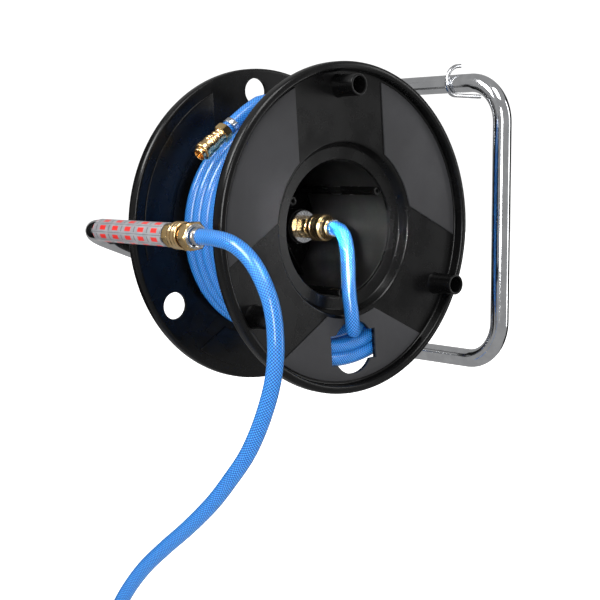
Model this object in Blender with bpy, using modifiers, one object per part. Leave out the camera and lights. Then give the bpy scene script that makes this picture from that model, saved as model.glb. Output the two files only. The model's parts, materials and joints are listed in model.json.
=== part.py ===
"""Wall-hung compressed-air hose reel: a plastic drum on a bent chrome tube that also carries the air.

Units are metres, +Z is up and the wall is the plane y = 0, with the reel on its -Y side. The origin is
where the hook enters the wall. The drum turns about +X, out of its front flange.
"""

import math

import bmesh
import bpy
from mathutils import Matrix, Vector

# Drum
AXLE = Vector((0.0, -0.2073, -0.1247))
FLANGE_RADIUS = 0.145
RIM_PLANE = 0.06865
PLATE_RECESS = 0.0095
PLATE = 0.003
CORE_INNER = 0.0605
CORE_OUTER = 0.0632
RECESS_FLOOR = 0.0505
ARM_ANGLES = (94.4, 214.4, 334.4)
PANEL_ANGLES = (34.4, 154.4, 274.4)
ARM_HALF_WIDTH = 0.050
PANEL_INNER = 0.0785
PANEL_OUTER = 0.1345
PANEL_RAISE = 0.0015
BOSS_RADIUS = 0.124
COLUMN_RADIUS = 0.0572
HOSE_WINDOW_RADIUS = 0.1052
REAR_HOLE = 0.01225
ROUND_STEPS = 56

# Hose
HOSE = 0.0064
GAP = 0.0003
WINDING_END = 0.0555
LAYER_RADII = (0.0994, 0.1110, 0.1226)
LAYER_STEPS = (0.0050, 0.0420)

# Frame tube, and where its handle and wall bar lie
TUBE = 0.009
TUBE_WALL = 0.0015
HANDLE_Y = -0.3843
WALL_BAR_Y = -0.0093
TOP_ARM_Z = 0.0113
BOTTOM_ARM_Z = -0.2607
HANDLE_END = 0.0446
AXLE_END = 0.0022
BALLS = 3

# Supply hose coil on the floor
FLOOR = -0.560
COIL_CENTRE = Vector((-0.190, -0.4553, 0.0))
COIL_MID = 0.070
COIL_LIFT = 0.0018

PLATE_FACE = RIM_PLANE - PLATE_RECESS
PLATE_BACK = PLATE_FACE - PLATE
OUT = Vector((1.0, 0.0, 0.0))
UP = Vector((0.0, 0.0, 1.0))


def clear_scene():
    for obj in list(bpy.data.objects):
        bpy.data.objects.remove(obj, do_unlink=True)


def new_collection(name):
    collection = bpy.data.collections.new(name)
    bpy.context.scene.collection.children.link(collection)
    return collection


def new_material(name, colour, roughness, metallic=0.0):
    material = bpy.data.materials.new(name)
    material.use_nodes = True
    shader = material.node_tree.nodes["Principled BSDF"]
    shader.inputs["Base Color"].default_value = (*colour, 1.0)
    shader.inputs["Roughness"].default_value = roughness
    shader.inputs["Metallic"].default_value = metallic
    return material


clear_scene()
PARTS = new_collection("hose_reel")
CUTTERS = new_collection("cutters")

BLACK = new_material("black_plastic", (0.016, 0.016, 0.018), 0.45)
CHROME = new_material("chrome_tube", (0.75, 0.76, 0.78), 0.12, 1.0)
ZINC = new_material("zinc_steel", (0.62, 0.63, 0.65), 0.3, 1.0)
BRASS = new_material("brass", (0.75, 0.53, 0.24), 0.25, 1.0)
BLUE = new_material("blue_hose", (0.02, 0.16, 0.62), 0.3)
LABEL = new_material("label_sleeve", (0.62, 0.62, 0.64), 0.35)
RUBBER = new_material("seal_rubber", (0.02, 0.02, 0.02), 0.7)
ACETAL = new_material("white_acetal", (0.75, 0.74, 0.7), 0.5)
STRAP = new_material("tie_strap", (0.03, 0.03, 0.03), 0.6)


# Placing and shaping helpers


def empty(name, location, parent=None):
    obj = bpy.data.objects.new(name, None)
    obj.location = location
    obj.parent = parent
    PARTS.objects.link(obj)
    return obj


def add(name, data, material, parent, at=(0.0, 0.0, 0.0), along=UP):
    """Links an object whose local Z is turned to the direction along; material None makes it a cutter."""
    obj = bpy.data.objects.new(name, data)
    obj.parent = parent
    obj.location = at
    obj.rotation_euler = UP.rotation_difference(along).to_euler()
    if material is None:
        CUTTERS.objects.link(obj)
        obj.hide_render = True
        obj.display_type = "WIRE"
    else:
        PARTS.objects.link(obj)
        data.materials.append(material)
    return obj


def turned(name, outline, material, parent, at=(0.0, 0.0, 0.0), along=OUT, steps=24):
    """Turns (radius, height) points, which run down the outer side, about the direction along."""
    mesh = bpy.data.meshes.new(name)
    bm = bmesh.new()
    points = [bm.verts.new((radius, 0.0, height)) for radius, height in outline]
    for first, second in zip(points, points[1:]):
        bm.edges.new((first, second))
    if outline[0][0] > 0:
        bm.edges.new((points[-1], points[0]))
    bm.to_mesh(mesh)
    bm.free()
    obj = add(name, mesh, material, parent, at, along)
    turn = obj.modifiers.new("Turn", "SCREW")
    turn.steps = turn.render_steps = steps
    turn.use_merge_vertices = True
    turn.merge_threshold = 0.00001
    return obj


def boolean(obj, operand, operation="DIFFERENCE"):
    modifier = obj.modifiers.new(operand.name, "BOOLEAN")
    modifier.operation = operation
    modifier.object = operand


def finish_mesh(name, bm, material, parent, at=(0.0, 0.0, 0.0), along=UP):
    bmesh.ops.recalc_face_normals(bm, faces=bm.faces)
    mesh = bpy.data.meshes.new(name)
    bm.to_mesh(mesh)
    bm.free()
    mesh.shade_smooth()
    mesh.set_sharp_from_angle(angle=math.radians(35))
    return add(name, mesh, material, parent, at, along)


def cylinder_into(bm, centre, radius, length, direction=OUT, sides=20):
    turn = UP.rotation_difference(direction).to_matrix().to_4x4()
    bmesh.ops.create_cone(
        bm, cap_ends=True, segments=sides, radius1=radius, radius2=radius, depth=length,
        matrix=Matrix.Translation(centre) @ turn,
    )


def box_into(bm, size, matrix):
    bmesh.ops.create_cube(bm, size=1.0, matrix=matrix @ Matrix.Diagonal((*size, 1.0)))


def prism_into(bm, outline, start, end):
    """Extrudes (y, z) points along x from start to end."""
    face = bm.faces.new([bm.verts.new((start, y, z)) for y, z in outline])
    grown = bmesh.ops.extrude_face_region(bm, geom=[face])["geom"]
    moved = [item for item in grown if isinstance(item, bmesh.types.BMVert)]
    bmesh.ops.translate(bm, verts=moved, vec=(end - start, 0.0, 0.0))


def hexagon(name, flats, start, end, parent, at, along):
    """A cutter-collection hexagonal prism across flats, from start to end on its axis."""
    bm = bmesh.new()
    cylinder_into(bm, UP * (start + end) / 2, flats / math.sqrt(3), end - start, UP, 6)
    return finish_mesh(name, bm, None, parent, at, along)


def on_circle(radius, degrees, along=0.0):
    """A point round the drum's axis: the angle runs from +Y towards +Z."""
    angle = math.radians(degrees)
    return Vector((along, radius * math.cos(angle), radius * math.sin(angle)))


def rounded_path(corners, radii, steps=6):
    """Centre-line points of a bent tube: each inner corner becomes an arc of its radius."""
    points = [corners[0]]
    for before, corner, after, radius in zip(corners, corners[1:], corners[2:], radii):
        back = (before - corner).normalized()
        ahead = (after - corner).normalized()
        half = back.angle(ahead) / 2
        centre = corner + (back + ahead).normalized() * (radius / math.sin(half))
        start = corner + back * (radius / math.tan(half)) - centre
        sweep = math.pi - 2 * half
        axis = back.cross(start)
        for step in range(steps + 1):
            points.append(centre + Matrix.Rotation(sweep * step / steps, 3, axis) @ start)
    points.append(corners[-1])
    return points


def smooth_route(points, spacing):
    """Points about a spacing apart on a smooth curve through the route's own points."""
    route = [Vector(point) for point in points]
    padded = [2 * route[0] - route[1], *route, 2 * route[-1] - route[-2]]
    found = [route[0]]
    for before, start, end, after in zip(padded, padded[1:], padded[2:], padded[3:]):
        pieces = max(1, round((end - start).length / spacing))
        for piece in range(1, pieces + 1):
            t = piece / pieces
            found.append(0.5 * (
                2 * start + (end - before) * t + (2 * before - 5 * start + 4 * end - after) * t * t
                + (3 * start - before - 3 * end + after) * t ** 3
            ))
    return found


def tube(name, points, radius, material, parent, resolution=3, caps=True):
    curve = bpy.data.curves.new(name, "CURVE")
    curve.dimensions = "3D"
    curve.bevel_depth = radius
    curve.bevel_resolution = resolution
    curve.use_fill_caps = caps
    spline = curve.splines.new("POLY")
    spline.points.add(len(points) - 1)
    for spot, point in zip(spline.points, points):
        spot.co = (*point, 1.0)
        spot.radius = 1.0
    spline.use_smooth = True
    return add(name, curve, material, parent)


def spring(name, start, end, mean_radius, wire, turns, material, parent, at, along):
    count = turns * 10
    points = [
        Vector((mean_radius * math.cos(math.tau * turns * i / count),
                mean_radius * math.sin(math.tau * turns * i / count),
                start + (end - start) * i / count))
        for i in range(count + 1)
    ]
    obj = tube(name, points, wire, material, parent, resolution=0)
    obj.location = at
    obj.rotation_euler = UP.rotation_difference(along).to_euler()
    return obj


def ball_spots(radius, height):
    turns = [math.tau * step / BALLS for step in range(BALLS)]
    return [Vector((radius * math.cos(turn), radius * math.sin(turn), height)) for turn in turns]


def lock_balls(name, ball, radius, height, parent, at, along):
    """Locking balls, one object each, all standing in the same ring of holes."""
    for number, centre in enumerate(ball_spots(radius, height), 1):
        bm = bmesh.new()
        bmesh.ops.create_icosphere(bm, subdivisions=2, radius=ball, matrix=Matrix.Translation(centre))
        finish_mesh(f"{name}_{number}", bm, ZINC, parent, at, along)


def ball_holes(name, hole, radius, height, parent, at, along):
    bm = bmesh.new()
    for centre in ball_spots(radius, height):
        outward = Vector((centre.x, centre.y, 0.0)).normalized()
        cylinder_into(bm, centre, hole, 0.004, outward, 10)
    return finish_mesh(name, bm, None, parent, at, along)


def hose_clamp(name, centre, direction, parent, width=0.0055):
    """A one-ear steel band round the hose, with the pinched ear standing up."""
    inner, outer = HOSE + GAP, HOSE + GAP + 0.0007
    half = width / 2
    band = turned(name, [(inner, half), (outer, half), (outer, -half), (inner, -half)], ZINC, parent,
                  centre, direction, steps=20)
    bm = bmesh.new()
    box_into(bm, (0.0022, 0.0048, width * 0.96), Matrix.Translation((outer + 0.0007, 0, 0)))
    ear = finish_mesh(name + "_ear", bm, None, parent, centre, direction)
    boolean(band, ear, "UNION")
    return band


# Drum


def panel_outline(angle, inner, outer):
    """The sector left between two of the drum's parallel-sided arms, as (y, z) points."""
    def edge(radius):
        apex = ARM_HALF_WIDTH / math.cos(math.radians(30))
        run = (-apex + math.sqrt(apex * apex - 4 * (apex * apex - radius * radius))) / 2
        return math.degrees(math.atan2(run * math.sin(math.radians(60)), apex + run / 2))

    points = []
    for radius, direction in ((outer, 1), (inner, -1)):
        widest = edge(radius)
        for step in range(-6, 7):
            spot = on_circle(radius, angle + direction * widest * step / 6)
            points.append((spot.y, spot.z))
    return points


def window_outline():
    """The hose window: a round hole widened by a straight-sided notch to each side."""
    radius, half_width, half_height = 0.024, 0.0265, 0.0135
    meet = math.degrees(math.asin(half_height / radius))
    local = []
    for side in (1, -1):
        local += [(side * half_width, -side * half_height), (side * half_width, side * half_height)]
        for step in range(9):
            turn = math.radians(meet + (180 - 2 * meet) * step / 8)
            local.append((side * radius * math.cos(turn), side * radius * math.sin(turn)))
    outward = on_circle(1.0, PANEL_ANGLES[2])
    across = on_circle(1.0, PANEL_ANGLES[2] + 90)
    found = [outward * (HOSE_WINDOW_RADIUS + up) + across * right for right, up in local]
    return [(spot.y, spot.z) for spot in found]


def rim_outline(side):
    """The rolled rim of one flange, from its plate face round to its plate back; side is +1 or -1."""
    points = [
        (0.1365, PLATE_FACE), (0.1373, 0.0605), (0.1375, 0.0670), (0.1385, 0.0683), (0.1405, RIM_PLANE),
        (0.1430, 0.0679), (0.1448, 0.0660), (FLANGE_RADIUS, 0.0640), (FLANGE_RADIUS, 0.0585),
        (0.1440, 0.0565), (0.1420, PLATE_BACK),
    ]
    return [(radius, side * height) for radius, height in points]


def front_flange(drum):
    """Front flange, with the hollow core that the hose is wound on, moulded in one."""
    outline = [
        (0.0612, RECESS_FLOOR), (0.0718, RECESS_FLOOR), (0.0757, 0.0586), (0.0765, PLATE_FACE),
        *rim_outline(1),
        (0.0792, PLATE_BACK), (0.0747, 0.0478), (CORE_OUTER, 0.0478), (CORE_OUTER, -0.0558),
        (CORE_INNER, -0.0558), (CORE_INNER, 0.0498),
    ]
    flange = turned("front_flange", outline, BLACK, drum, steps=ROUND_STEPS)
    added = bmesh.new()
    removed = bmesh.new()
    for angle in ARM_ANGLES:
        cylinder_into(added, on_circle(BOSS_RADIUS, angle, 0.0716), 0.0093, 0.0282, sides=24)
        cylinder_into(removed, on_circle(BOSS_RADIUS, angle, 0.0745), 0.0070, 0.0240, sides=24)
    for angle in PANEL_ANGLES:
        cylinder_into(added, on_circle(COLUMN_RADIUS, angle, -0.0037), 0.0039, 0.1034, sides=14)
        cylinder_into(removed, on_circle(COLUMN_RADIUS, angle, -0.0500), 0.0022, 0.0130, sides=12)
        cylinder_into(removed, on_circle(COLUMN_RADIUS, angle, 0.0460), 0.0018, 0.0100, sides=12)
        prism_into(added, panel_outline(angle, PANEL_INNER, PANEL_OUTER), 0.0580,
                   PLATE_FACE + PANEL_RAISE)
    prism_into(removed, window_outline(), 0.050, 0.070)
    boolean(flange, finish_mesh("front_additions", added, None, drum), "UNION")
    boolean(flange, finish_mesh("front_cuts", removed, None, drum))


def rear_flange(drum):
    """Rear flange, closed across the core, with the ribbed hub that the bushes sit in."""
    outline = [
        (0.0120, -0.0010), (0.0160, -0.0010), (0.0165, -PLATE_BACK), *reversed(rim_outline(-1)),
        (0.0180, -PLATE_FACE), (0.0120, -PLATE_FACE),
    ]
    flange = turned("rear_flange", outline, BLACK, drum, steps=ROUND_STEPS)
    added = bmesh.new()
    removed = bmesh.new()
    for step in range(6):
        angle = PANEL_ANGLES[0] + 30 + 60 * step
        turn = Matrix.Rotation(math.radians(angle), 4, "X")
        box_into(added, (0.0205, 0.0420, 0.0022), turn @ Matrix.Translation((-0.0470, 0.0362, 0)))
    for angle in PANEL_ANGLES:
        prism_into(added, panel_outline(angle, 0.104, PANEL_OUTER), -0.0575, -0.0550)
        cylinder_into(removed, on_circle(COLUMN_RADIUS, angle, -0.0575), 0.0022, 0.0100, sides=12)
    for angle in ARM_ANGLES:
        cylinder_into(removed, on_circle(BOSS_RADIUS, angle, -0.0575), REAR_HOLE, 0.0100, sides=28)
    boolean(flange, finish_mesh("rear_additions", added, None, drum), "UNION")
    boolean(flange, finish_mesh("rear_cuts", removed, None, drum))


def rear_screws(drum):
    """Three pan-head screws that clamp the rear flange to the core's screw columns."""
    for number, angle in enumerate(PANEL_ANGLES, 1):
        turned(f"rear_screw_{number}", [
            (0.0, 0.0137), (0.0017, 0.0137), (0.0017, 0.0), (0.0038, 0.0), (0.0038, -0.0012),
            (0.0028, -0.0024), (0.0, -0.0024),
        ], ZINC, drum, at=on_circle(COLUMN_RADIUS, angle, -PLATE_FACE - GAP), steps=14)


def hub_bush(name, flange_end, side, drum):
    """Flanged acetal bush: its flange ends at flange_end, and its sleeve lies inside the hub."""
    flange = flange_end - side * 0.0015
    sleeve = flange_end - side * 0.0150
    points = [(0.00935, flange_end), (0.0140, flange_end), (0.0140, flange), (0.0117, flange),
              (0.0117, sleeve), (0.00935, sleeve)]
    if side < 0:
        points.reverse()
    turned(name, points, ACETAL, drum)


def swivel_rotor(drum):
    outline = [
        (0.0030, 0.0405), (0.0072, 0.0405), (0.0082, 0.0392), (0.0100, 0.0337), (0.0121, 0.0322),
        (0.0121, 0.0258), (0.0116, 0.0252), (0.0121, 0.0246), (0.0121, 0.0188), (0.0113, 0.0178),
        (0.0065, 0.0178), (0.0065, 0.0330), (0.0030, 0.0330),
    ]
    turned("swivel_rotor", outline, BRASS, drum)


def drum_hose(drum):
    """The wound hose: its short run from the swivel, its turns as one ring, and its loose end."""
    hub_route = [
        (0.0408, 0.0, 0.0), (0.0460, 0.0, 0.0), (0.0515, -0.0001, -0.0016), (0.0567, -0.0004, -0.0065),
        (0.0606, -0.0009, -0.0160), (0.0628, -0.0013, -0.0290), (0.0640, -0.0018, -0.0440),
        (0.0660, -0.0025, -0.0580), (0.0682, -0.0028, -0.0680), (0.0690, -0.0022, -0.0760),
        (0.0681, -0.0006, -0.0836), (0.0652, 0.0028, -0.0886), (0.0605, 0.0078, -0.0900),
        (0.0530, 0.0160, -0.0895),
    ]
    tube("hub_hose", smooth_route(hub_route, 0.010), HOSE, BLUE, drum)
    full, partial, last = LAYER_RADII
    partial_from, last_from = LAYER_STEPS
    outline = [
        (0.0635, last_from), (0.0980, last_from), (0.0980, WINDING_END), (last, WINDING_END),
        (last, last_from), (partial, last_from), (partial, partial_from), (full, partial_from),
        (full, -WINDING_END), (0.0635, -WINDING_END),
    ]
    turned("hose_winding", outline, BLUE, drum, steps=48)
    lying = full + HOSE + GAP
    beside = partial_from - HOSE - GAP
    outer_route = [
        on_circle(lying, 60, beside), on_circle(lying, 72, beside - 0.0010),
        on_circle(lying, 83, beside - 0.0025), (-0.0055, -0.0079, 0.1079), (-0.0063, -0.0387, 0.1116),
        (-0.0064, -0.0560, 0.1040), (-0.00635, -0.0720, 0.0930), (-0.00635, -0.0812, 0.08615),
    ]
    tube("hose_outer_run", smooth_route(outer_route, 0.012), HOSE, BLUE, drum)
    hose_clamp("hub_hose_clamp", (0.0434, 0.0, 0.0), OUT, drum, width=0.004)


def outlet_coupling(drum):
    """The quick coupling on the wound hose's loose end; heights run from its hose end to its mouth."""
    toward_mouth = Vector((0.0, -0.8025, -0.5967)).normalized()
    at = Vector((-0.00635, -0.0816, 0.08585))
    where = {"parent": drum, "at": at, "along": toward_mouth}
    body = turned("outlet_coupling_body", [
        (0.0, 0.0366), (0.0055, 0.0366), (0.0059, 0.0361), (0.0059, 0.0175), (0.0069, 0.0175),
        (0.0069, 0.0060), (0.0, 0.0060),
    ], BRASS, steps=28, **where)
    boolean(body, hexagon("outlet_hex", 0.015, 0.0, 0.0077, **where), "UNION")
    boolean(body, turned("outlet_bore", [
        (0.0, 0.0380), (0.0048, 0.0380), (0.0048, 0.0220), (0.0034, 0.0220), (0.0034, 0.0200),
        (0.0050, 0.0200), (0.0050, 0.0090), (0.0028, 0.0090), (0.0028, -0.0010), (0.0, -0.0010),
    ], None, steps=24, **where))
    boolean(body, ball_holes("outlet_ball_holes", 0.0010, 0.00535, 0.0315, **where))
    turned("outlet_sleeve", [
        (0.0062, 0.0330), (0.0074, 0.0330), (0.0080, 0.0322), (0.0080, 0.0186), (0.0077, 0.0178),
        (0.0074, 0.0178), (0.0074, 0.0300), (0.0062, 0.0300),
    ], BRASS, steps=28, **where)
    spring("outlet_sleeve_spring", 0.0181, 0.0294, 0.00665, 0.00035, 5, ZINC, **where)
    lock_balls("outlet_ball", 0.00075, 0.00505, 0.0315, **where)
    turned("outlet_valve", [
        (0.0, 0.0262), (0.0012, 0.0262), (0.0012, 0.0197), (0.0044, 0.0197), (0.0044, 0.0182),
        (0.0, 0.0182),
    ], BRASS, steps=20, **where)
    spring("outlet_valve_spring", 0.0098, 0.0175, 0.0036, 0.0004, 4, ZINC, **where)
    hose_clamp("outlet_hose_clamp", at - toward_mouth * 0.0062, toward_mouth, drum)


# Frame side


def frame_tube():
    """One chrome tube: handle, lower stay, wall loop, upper stay and the axle that the drum turns on."""
    stay_x, upper_stay_x, wall_x = -0.0884, -0.110, 0.063
    corners = [Vector(point) for point in (
        (HANDLE_END, HANDLE_Y, AXLE.z), (stay_x, HANDLE_Y, AXLE.z), (stay_x, WALL_BAR_Y, BOTTOM_ARM_Z),
        (wall_x, WALL_BAR_Y, BOTTOM_ARM_Z), (wall_x, WALL_BAR_Y, TOP_ARM_Z),
        (upper_stay_x, WALL_BAR_Y, TOP_ARM_Z), (upper_stay_x, AXLE.y, AXLE.z), (AXLE_END, AXLE.y, AXLE.z),
    )]
    path = rounded_path(corners, (0.030, 0.040, 0.040, 0.040, 0.040, 0.030))
    obj = tube("frame_tube", path, TUBE, CHROME, None, resolution=6, caps=False)
    wall = obj.modifiers.new("Wall", "SOLIDIFY")
    wall.thickness = TUBE_WALL
    wall.offset = -1.0


def label_sleeve():
    turned("label_sleeve", [
        (0.0093, HANDLE_END - 0.0004), (0.0098, HANDLE_END - 0.0004), (0.0098, -0.0570),
        (0.0093, -0.0570),
    ], LABEL, None, at=(0.0, HANDLE_Y, AXLE.z))


def wall_hook():
    """Open screw hook: its shank enters the wall under the top arm, and the arm rests in its bend."""
    wire = 0.002
    bend = TUBE + GAP + wire
    arc = []
    for step in range(9):
        angle = math.radians(270 - 11.25 * step)
        arc.append((0.0, WALL_BAR_Y + bend * math.cos(angle), TOP_ARM_Z + bend * math.sin(angle)))
    route = [(0.0, 0.0280, arc[0][2]), (0.0, 0.0120, arc[0][2]), *arc,
             (0.0, -0.0196, 0.0180), (0.0, -0.0160, 0.0240), (0.0, -0.0095, 0.0280),
             (0.0, -0.0015, 0.0293)]
    tube("wall_hook", smooth_route(route, 0.0035), wire, ZINC, None, resolution=3)


def axle_fittings():
    """The collar and washer that keep the drum on its axle."""
    turned("axle_collar", [
        (0.0093, -0.0614), (0.0130, -0.0614), (0.0135, -0.0619), (0.0135, -0.0665), (0.0093, -0.0665),
    ], ZINC, None, at=AXLE)
    turned("thrust_washer", [
        (0.0093, 0.0023), (0.0145, 0.0023), (0.0145, 0.0011), (0.0093, 0.0011),
    ], ZINC, None, at=AXLE)


def swivel_stator():
    """The fixed half of the swivel: screwed into the axle tube, with two sealing grooves at its nose."""
    stator = turned("swivel_stator", [
        (0.0, 0.0310), (0.0055, 0.0310), (0.0060, 0.0305), (0.0060, 0.0290), (0.0046, 0.0290),
        (0.0046, 0.0270), (0.0060, 0.0270), (0.0060, 0.0225), (0.0046, 0.0225), (0.0046, 0.0205),
        (0.0060, 0.0205), (0.0060, 0.0172), (0.0080, 0.0172), (0.0080, 0.0040), (0.0070, 0.0040),
        (0.0070, -0.0120), (0.0, -0.0120),
    ], BRASS, None, at=AXLE)
    boolean(stator, hexagon("stator_hex", 0.018, 0.0026, 0.0138, None, AXLE, OUT), "UNION")
    boolean(stator, turned("stator_bore", [
        (0.0, 0.0330), (0.0032, 0.0330), (0.0032, -0.0140), (0.0, -0.0140),
    ], None, None, at=AXLE, steps=20))


def swivel_seals():
    """Two O-rings in the stator's grooves."""
    for number, height in enumerate((0.0215, 0.0280), 1):
        turns = [-math.tau * step / 6 for step in range(6)]
        section = [(0.00555 + 0.00062 * math.cos(turn), height + 0.00062 * math.sin(turn))
                   for turn in turns]
        turned(f"swivel_seal_{number}", section, RUBBER, None, at=AXLE, steps=18)


def supply_side():
    """The plug in the handle's end and the quick coupling that is on it; heights are world x."""
    where = {"parent": None, "at": Vector((0.0, HANDLE_Y, AXLE.z)), "along": OUT}
    plug = turned("inlet_plug", [
        (0.0, 0.0668), (0.0042, 0.0668), (0.0046, 0.0662), (0.0046, 0.0622), (0.0039, 0.0616),
        (0.0039, 0.0590), (0.0048, 0.0582), (0.0048, 0.0500), (0.0070, 0.0500), (0.0070, 0.0330),
        (0.0, 0.0330),
    ], BRASS, steps=28, **where)
    boolean(plug, hexagon("inlet_hex", 0.018, 0.0450, 0.0536, **where), "UNION")
    boolean(plug, turned("inlet_bore", [(0.0, 0.0680), (0.0030, 0.0680), (0.0030, 0.0320), (0.0, 0.0320)],
                         None, steps=16, **where))
    body = turned("supply_coupling_body", [
        (0.0, 0.0780), (0.0095, 0.0780), (0.0095, 0.0662), (0.0075, 0.0662), (0.0075, 0.0540),
        (0.0, 0.0540),
    ], BRASS, **where)
    boolean(body, hexagon("supply_hex", 0.0217, 0.0703, 0.0800, **where), "UNION")
    boolean(body, turned("supply_bore", [
        (0.0, 0.0820), (0.0035, 0.0820), (0.0035, 0.0775), (0.0060, 0.0775), (0.0060, 0.0700),
        (0.0040, 0.0700), (0.0040, 0.0685), (0.0054, 0.0685), (0.0054, 0.0530), (0.0, 0.0530),
    ], None, steps=24, **where))
    boolean(body, ball_holes("supply_ball_holes", 0.0014, 0.00645, 0.0554, **where))
    turned("supply_sleeve", [
        (0.0099, 0.0660), (0.0109, 0.0660), (0.0113, 0.0654), (0.0113, 0.0550), (0.0106, 0.0541),
        (0.0078, 0.0541), (0.0078, 0.0565), (0.0099, 0.0565),
    ], BRASS, **where)
    spring("supply_sleeve_spring", 0.0573, 0.0654, 0.0087, 0.0005, 4, ZINC, **where)
    lock_balls("supply_ball", 0.0010, 0.00635, 0.0554, **where)
    turned("supply_valve", [
        (0.0, 0.0737), (0.0050, 0.0737), (0.0050, 0.0725), (0.0016, 0.0725), (0.0016, 0.0672),
        (0.0, 0.0672),
    ], BRASS, steps=20, **where)
    spring("supply_valve_spring", 0.0744, 0.0768, 0.0040, 0.0003, 3, ZINC, **where)
    hose_clamp("supply_hose_clamp", Vector((0.0838, HANDLE_Y, AXLE.z)), OUT, None)


def supply_hose():
    """The free supply hose: a bight out of the coupling down to the floor, a coil, and its plug."""
    plane = HANDLE_Y - 0.0010
    drop = [
        (0.0803, -0.1247), (0.0870, -0.1247), (0.0940, -0.1247), (0.1060, -0.1251), (0.1260, -0.1278),
        (0.1450, -0.1360), (0.1588, -0.1475), (0.1708, -0.1640), (0.1770, -0.1800), (0.1793, -0.1980),
        (0.1785, -0.2150), (0.1745, -0.2320), (0.1672, -0.2500), (0.1572, -0.2690), (0.1435, -0.2890),
        (0.1245, -0.3095), (0.1010, -0.3325), (0.0680, -0.3590), (0.0320, -0.3850), (0.0020, -0.4085),
        (-0.0240, -0.4345), (-0.0460, -0.4630), (-0.0665, -0.4915), (-0.0880, -0.5170),
        (-0.1120, -0.5345), (-0.1362, -0.5406),
    ]
    route = [(x, HANDLE_Y if x < 0.1 and z > -0.13 else plane, z) for x, z in drop]
    tube("supply_hose", smooth_route(route, 0.014), HOSE, BLUE, None)
    base = FLOOR + COIL_LIFT
    low, high = COIL_MID - 2 * HOSE, COIL_MID + 2 * HOSE
    turned("supply_hose_coil", [
        (low, base + 4 * HOSE), (high, base + 4 * HOSE), (high, base), (low, base),
    ], BLUE, None, at=COIL_CENTRE, along=UP, steps=40)
    tail_y = COIL_CENTRE.y - COIL_MID - HOSE
    tail_z = base + HOSE
    plug_x = COIL_CENTRE.x + 0.0750
    tail = [(plug_x - 0.0290, tail_y, tail_z), (plug_x - 0.0150, tail_y, tail_z),
            (plug_x - GAP, tail_y, tail_z)]
    tube("supply_hose_tail", smooth_route(tail, 0.014), HOSE, BLUE, None)
    where = {"parent": None, "at": Vector((plug_x, tail_y, tail_z)), "along": OUT}
    plug = turned("supply_plug", [
        (0.0, 0.0310), (0.0042, 0.0310), (0.0046, 0.0304), (0.0046, 0.0262), (0.0039, 0.0256),
        (0.0039, 0.0230), (0.0048, 0.0222), (0.0048, 0.0110), (0.0065, 0.0110), (0.0065, 0.0040),
        (0.0, 0.0040),
    ], BRASS, steps=28, **where)
    boolean(plug, hexagon("plug_hex", 0.0138, 0.0, 0.0080, **where), "UNION")
    boolean(plug, turned("plug_bore", [(0.0, 0.0320), (0.0030, 0.0320), (0.0030, -0.0010), (0.0, -0.0010)],
                         None, steps=16, **where))
    hose_clamp("supply_plug_clamp", Vector((plug_x - 0.0062, tail_y, tail_z)), OUT, None)


def coil_tie():
    """A strap round the coil's bundle of turns."""
    half_inner = 2 * HOSE + 0.0008
    half_outer = half_inner + 0.0009
    centre = Vector((COIL_CENTRE.x - COIL_MID, COIL_CENTRE.y, FLOOR + COIL_LIFT + 2 * HOSE))
    bm = bmesh.new()
    box_into(bm, (2 * half_outer, 0.009, 2 * half_outer), Matrix())
    strap = finish_mesh("coil_tie", bm, STRAP, None, centre)
    inside = bmesh.new()
    box_into(inside, (2 * half_inner, 0.02, 2 * half_inner), Matrix())
    boolean(strap, finish_mesh("tie_inside", inside, None, None, centre))


drum_axle = empty("drum_axle", AXLE)
front_flange(drum_axle)
rear_flange(drum_axle)
rear_screws(drum_axle)
hub_bush("hub_bush_rear", -0.0610, -1, drum_axle)
hub_bush("hub_bush_front", 0.0008, 1, drum_axle)
swivel_rotor(drum_axle)
drum_hose(drum_axle)
outlet_coupling(drum_axle)
frame_tube()
label_sleeve()
wall_hook()
axle_fittings()
swivel_stator()
swivel_seals()
supply_side()
supply_hose()
coil_tie()
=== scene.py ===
"""Looks of the wall-hung air hose reel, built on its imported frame. Metres, +Z up, the wall at y = 0."""

import json
import math

import bmesh
import bpy
from mathutils import Matrix, Vector


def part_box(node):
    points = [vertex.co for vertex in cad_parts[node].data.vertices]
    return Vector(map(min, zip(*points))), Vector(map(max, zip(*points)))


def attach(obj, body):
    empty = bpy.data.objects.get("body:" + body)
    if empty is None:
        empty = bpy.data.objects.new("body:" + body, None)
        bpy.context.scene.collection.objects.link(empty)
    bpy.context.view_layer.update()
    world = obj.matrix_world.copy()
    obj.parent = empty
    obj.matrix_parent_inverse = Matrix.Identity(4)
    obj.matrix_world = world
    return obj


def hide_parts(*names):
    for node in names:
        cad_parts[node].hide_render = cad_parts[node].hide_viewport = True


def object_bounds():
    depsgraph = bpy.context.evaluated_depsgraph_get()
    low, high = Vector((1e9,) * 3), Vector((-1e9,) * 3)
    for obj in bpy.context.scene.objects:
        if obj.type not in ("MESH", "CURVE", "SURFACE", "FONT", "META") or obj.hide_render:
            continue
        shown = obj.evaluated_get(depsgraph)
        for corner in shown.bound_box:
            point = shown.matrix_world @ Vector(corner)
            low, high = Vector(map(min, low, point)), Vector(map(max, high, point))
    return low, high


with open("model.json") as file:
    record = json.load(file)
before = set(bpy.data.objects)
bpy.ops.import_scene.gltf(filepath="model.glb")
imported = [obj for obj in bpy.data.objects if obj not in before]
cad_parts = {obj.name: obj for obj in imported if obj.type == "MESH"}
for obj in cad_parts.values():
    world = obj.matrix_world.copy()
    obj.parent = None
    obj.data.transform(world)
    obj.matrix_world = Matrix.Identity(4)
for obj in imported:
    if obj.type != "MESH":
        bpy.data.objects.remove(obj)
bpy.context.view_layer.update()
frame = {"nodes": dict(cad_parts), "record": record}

OUT = Vector((1.0, 0.0, 0.0))
UP = Vector((0.0, 0.0, 1.0))
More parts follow.
